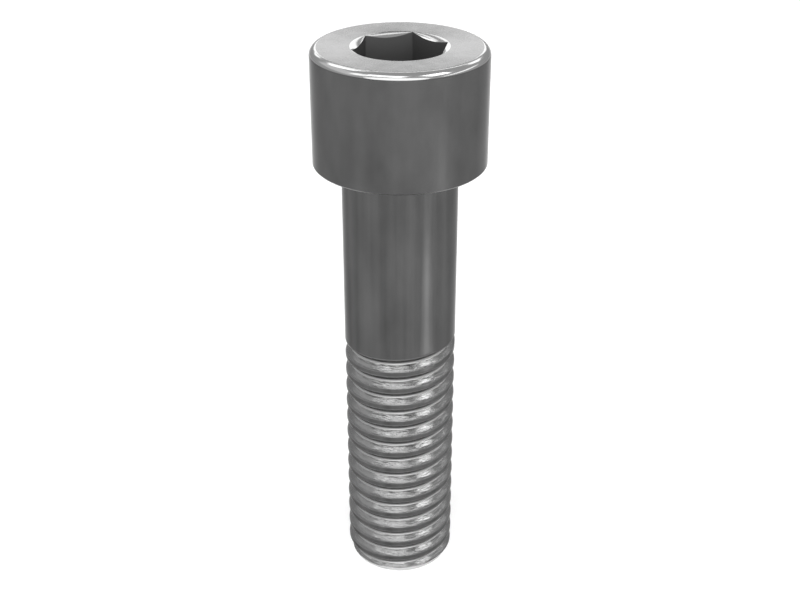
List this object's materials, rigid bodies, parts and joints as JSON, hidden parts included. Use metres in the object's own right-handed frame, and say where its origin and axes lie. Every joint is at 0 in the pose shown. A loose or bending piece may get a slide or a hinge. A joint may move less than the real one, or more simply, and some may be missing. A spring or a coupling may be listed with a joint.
{
  "type": "socket head bolt",
  "caption": "Steel bolt with a round head, a hexagon socket, a plain shank and a threaded end. It clamps parts together when a hexagon key turns it.",
  "frame": {"origin": "on the bolt's axis, in the plane of the bearing face under the head", "axes": "+Z along the axis towards the head's top face, the thread runs down along -Z, and the front of the picture looks along +Y"},
  "size_m": [0.04, 0.04, 0.137],
  "materials": {
    "steel": "dark, oiled steel, forged and turned, with fine turning marks on the top face"
  },
  "bodies": {
    "root": {"bolt": "steel"}
  },
  "joints": []
}
